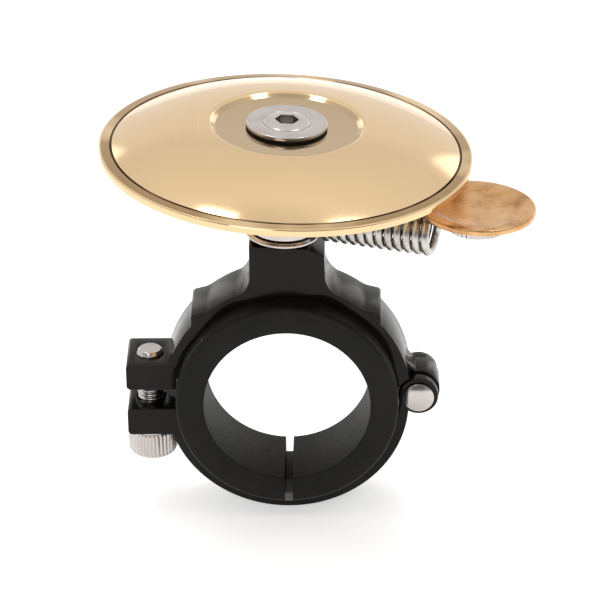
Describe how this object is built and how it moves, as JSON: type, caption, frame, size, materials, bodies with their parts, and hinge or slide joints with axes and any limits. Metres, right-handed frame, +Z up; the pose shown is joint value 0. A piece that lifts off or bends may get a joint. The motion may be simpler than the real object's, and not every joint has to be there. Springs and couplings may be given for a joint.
{
  "type": "bicycle bell",
  "caption": "Low brass bicycle bell with a spring-mounted thumb striker on a hinged black handlebar clamp with a shim.",
  "frame": {"origin": "on the handlebar's axis, at the middle of the clamp's width", "axes": "+X towards the clamp's hinge, +Y along the handlebar, +Z up to the dome"},
  "size_m": [0.0611, 0.0524, 0.0604],
  "materials": {
    "dome_brass": "polished",
    "disc_brass": "polished, handled",
    "bright_steel": "polished",
    "spring_steel": "drawn wire",
    "black_anodised": "satin anodised",
    "shim_black": "matte",
    "rubber_black": "matte"
  },
  "bodies": {
    "bell_body": {"upper_clamp": "black_anodised", "handlebar_shim": "shim_black", "hinge_pin": "bright_steel", "cup_washer": "bright_steel", "striker_hub": "bright_steel", "dome_spacer": "bright_steel", "lower_gasket": "rubber_black", "dome": "dome_brass", "upper_gasket": "rubber_black", "dome_washer": "bright_steel", "dome_screw": "bright_steel"},
    "striker": {"striker_spring": "spring_steel", "thumb_disc": "disc_brass", "striker_nut": "bright_steel"},
    "strap": {"lower_strap": "black_anodised"},
    "screw": {"clamp_screw": "bright_steel", "clamp_screw_washer": "bright_steel"}
  },
  "joints": [
    {"name": "striker_flick", "type": "hinge", "parent": "bell_body", "child": "striker", "pos_m": [0.00709, -0.0016, 0.02695], "axis": [0.2297, 0.972, -0.0502], "range_deg": [-3.5, 22], "stiffness_Nm_per_rad": 0.15, "deforming": ["striker_spring"]},
    {"name": "strap_hinge", "type": "hinge", "parent": "bell_body", "child": "strap", "pos_m": [0.01875, 0, -0.00035], "axis": [0, -1, 0], "range_deg": [0, 100]},
    {"name": "clamp_screw_travel", "type": "slide", "parent": "strap", "child": "screw", "axis": [0, 0, -1], "range_m": [0, 0.008]}
  ]
}
